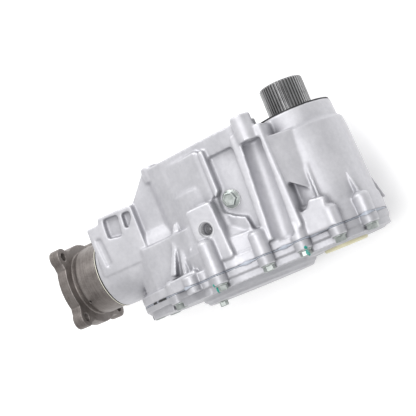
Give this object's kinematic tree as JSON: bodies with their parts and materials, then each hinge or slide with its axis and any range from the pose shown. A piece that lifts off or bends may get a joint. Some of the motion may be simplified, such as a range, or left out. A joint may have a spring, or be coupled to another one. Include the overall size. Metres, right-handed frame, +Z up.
{
  "type": "transfer case",
  "caption": "Right-angle power transfer unit: ribbed cast case and bolted cover, hollow splined input shaft, bevel drive and four-eared output flange.",
  "frame": {"origin": "on the input shaft's axis, in the joint face between the case and its cover", "axes": "+Y along the input shaft towards its spline, -X towards the output flange, +Z up, away from the bracket bosses that the part lies on"},
  "size_m": [0.438, 0.2308, 0.211],
  "materials": {
    "cast_aluminium": "sand-blasted die casting",
    "flange_steel": "forged and turned, phosphated",
    "shaft_steel": "hardened and ground",
    "gear_steel": "ground teeth",
    "bearing_steel": "ground",
    "zinc_steel": "zinc plated",
    "black_rubber": "moulded",
    "cream_plastic": "moulded",
    "sealant": "cured silicone",
    "washer_aluminium": "soft"
  },
  "bodies": {
    "case": {"main_case": "cast_aluminium", "side_cover": "cast_aluminium", "sealant_bead": "sealant", "cover_bolts": "zinc_steel", "dowel_pins": "bearing_steel", "filler_plug": "zinc_steel", "filler_plug_washer": "washer_aluminium", "drain_plug": "zinc_steel", "drain_plug_washer": "washer_aluminium", "input_seal": "black_rubber", "halfshaft_seal": "black_rubber", "seal_cap": "cream_plastic", "pinion_seal": "black_rubber", "nose_dust_ring": "cream_plastic", "input_shim": "bearing_steel", "transfer_shim": "bearing_steel", "pinion_shim": "bearing_steel", "input_lower_bearing_cup": "bearing_steel", "input_upper_bearing_cup": "bearing_steel", "transfer_lower_bearing_cup": "bearing_steel", "transfer_upper_bearing_cup": "bearing_steel", "pinion_head_bearing_cup": "bearing_steel", "pinion_tail_bearing_cup": "bearing_steel"},
    "input": {"input_shaft": "shaft_steel", "input_drive_gear": "gear_steel", "input_lower_bearing_cone": "bearing_steel", "input_lower_bearing_cage": "bearing_steel", "input_upper_bearing_cone": "bearing_steel", "input_upper_bearing_cage": "bearing_steel"},
    "transfer": {"transfer_shaft": "shaft_steel", "driven_gear": "gear_steel", "ring_gear": "gear_steel", "ring_gear_bolts": "bearing_steel", "transfer_lower_bearing_cone": "bearing_steel", "transfer_lower_bearing_cage": "bearing_steel", "transfer_upper_bearing_cone": "bearing_steel", "transfer_upper_bearing_cage": "bearing_steel"},
    "output": {"output_flange": "flange_steel", "pinion_shaft": "gear_steel", "collapsible_spacer": "bearing_steel", "dust_deflector": "black_rubber", "flange_washer": "bearing_steel", "pinion_nut": "zinc_steel", "pinion_head_bearing_cone": "bearing_steel", "pinion_head_bearing_cage": "bearing_steel", "pinion_tail_bearing_cone": "bearing_steel", "pinion_tail_bearing_cage": "bearing_steel"}
  },
  "joints": [
    {"name": "transfer_spin", "type": "hinge", "parent": "case", "child": "transfer", "pos_m": [-0.125, 0, 0], "axis": [0, 1, 0], "continuous": true},
    {"name": "input_spin", "type": "hinge", "parent": "case", "child": "input", "pos_m": [0, 0, 0], "axis": [0, 1, 0], "continuous": true},
    {"name": "output_spin", "type": "hinge", "parent": "case", "child": "output", "pos_m": [0, 0.062, 0], "axis": [1, 0, 0], "continuous": true}
  ],
  "couplings": [
    {"joint": "input_spin", "follows": "transfer_spin", "ratio": -1.5},
    {"joint": "output_spin", "follows": "transfer_spin", "ratio": 2.9231}
  ]
}
